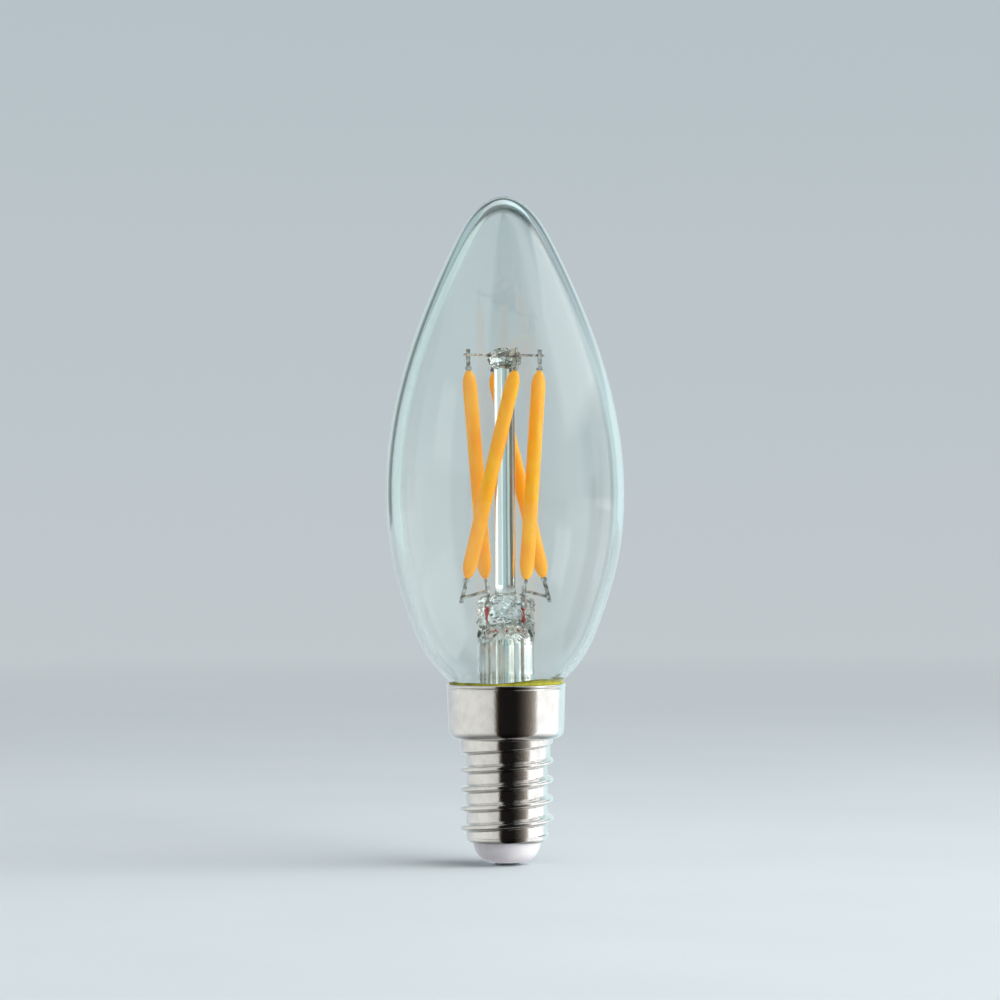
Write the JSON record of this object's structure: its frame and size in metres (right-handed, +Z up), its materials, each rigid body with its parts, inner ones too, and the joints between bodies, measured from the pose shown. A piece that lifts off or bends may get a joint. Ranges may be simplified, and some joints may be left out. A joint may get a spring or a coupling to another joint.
{
  "type": "candle bulb",
  "caption": "Clear candle-shaped filament bulb: crossed filaments on a glass stem, cemented into a small screw cap with a domed insulator and a centre contact.",
  "frame": {"origin": "middle of the centre contact's flat underside, on the bulb's axis, at the lowest point of the bulb", "axes": "+Z up the bulb's axis from the contact to the glass tip; -Y is the front, where the filaments cross as in the picture"},
  "size_m": [0.035, 0.035, 0.0982],
  "materials": {
    "envelope_glass": "clear blown glass, polished by the flame",
    "stem_glass": "clear worked glass",
    "cap_metal": "bright nickel-plated sheet",
    "cement": "cured lamp cement, matt",
    "insulator_plastic": "moulded, glossy white",
    "contact_metal": "nickel-plated nail, worn dull",
    "wire_metal": "drawn nickel wire and strip",
    "filament_coat": "cured silicone with yellow phosphor",
    "seal_copper": "copper-clad seal wire, red through the glass",
    "lead_copper": "tinned copper wire",
    "board_laminate": "glass-fibre laminate",
    "chip_plastic": "moulded epoxy",
    "capacitor_can": "aluminium can in a shrink sleeve",
    "resistor_body": "lacquered film resistor"
  },
  "bodies": {
    "root": {"glass_envelope": "envelope_glass", "cap_shell": "cap_metal", "cement_ring": "cement", "insulator": "insulator_plastic", "centre_contact": "contact_metal", "glass_stem": "stem_glass", "exhaust_tube": "stem_glass", "glass_pillar": "stem_glass", "support_wire_side": "wire_metal", "support_wire_front": "wire_metal", "led_filament_1": "filament_coat", "led_filament_2": "filament_coat", "led_filament_3": "filament_coat", "led_filament_4": "filament_coat", "top_tab_1": "wire_metal", "top_tab_2": "wire_metal", "top_tab_3": "wire_metal", "top_tab_4": "wire_metal", "bottom_tab_1": "wire_metal", "bottom_tab_2": "wire_metal", "bottom_tab_3": "wire_metal", "bottom_tab_4": "wire_metal", "lead_wire_left": "wire_metal", "lead_wire_right": "wire_metal", "cross_wire_left": "wire_metal", "cross_wire_right": "wire_metal", "seal_wire_left": "seal_copper", "seal_wire_right": "seal_copper", "outer_lead_left": "lead_copper", "outer_lead_right": "lead_copper", "driver_board": "board_laminate", "bridge_rectifier": "chip_plastic", "driver_chip": "chip_plastic", "smoothing_capacitor": "capacitor_can", "fuse_resistor": "resistor_body", "neutral_wire": "lead_copper"}
  },
  "joints": []
}
